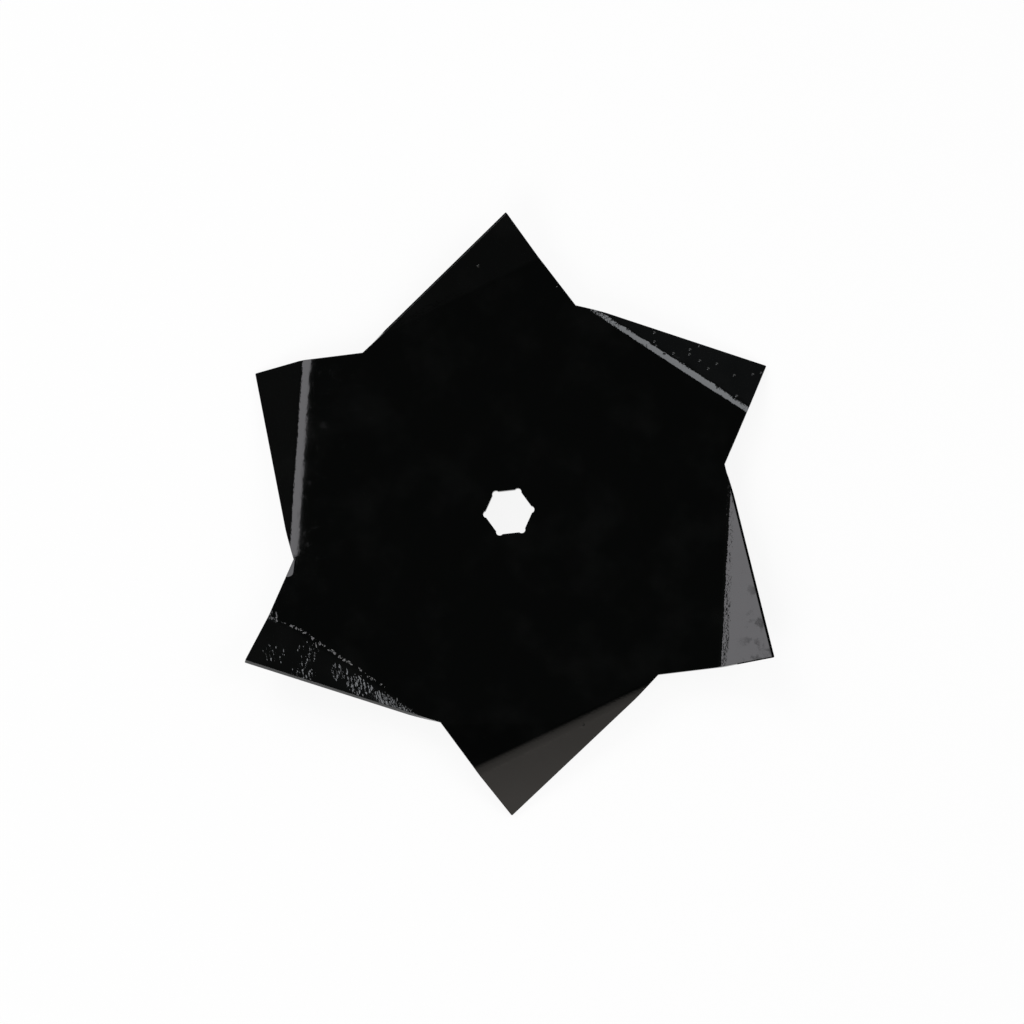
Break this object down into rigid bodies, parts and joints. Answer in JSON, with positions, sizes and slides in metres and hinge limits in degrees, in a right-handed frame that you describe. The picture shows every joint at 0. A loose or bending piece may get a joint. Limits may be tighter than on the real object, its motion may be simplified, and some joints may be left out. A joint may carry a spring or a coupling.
{
  "type": "star harrow disc",
  "caption": "Flat star-shaped soil-working disc of painted steel plate with a hexagonal centre hole and outer triangles bent alternately to either side.",
  "frame": {"origin": "centre of the hexagonal hole, halfway through the plate's thickness", "axes": "+Z along the disc's turning axis towards the face shown in the picture; +Y through one point of the star as cut, which is bent towards +Z; +X completes the right hand"},
  "size_m": [0.3946, 0.4532, 0.049],
  "materials": {
    "black_enamel": "high-gloss black enamel over steel plate, with fine scratches at the bends"
  },
  "bodies": {
    "root": {"star_disc": "black_enamel"}
  },
  "joints": []
}
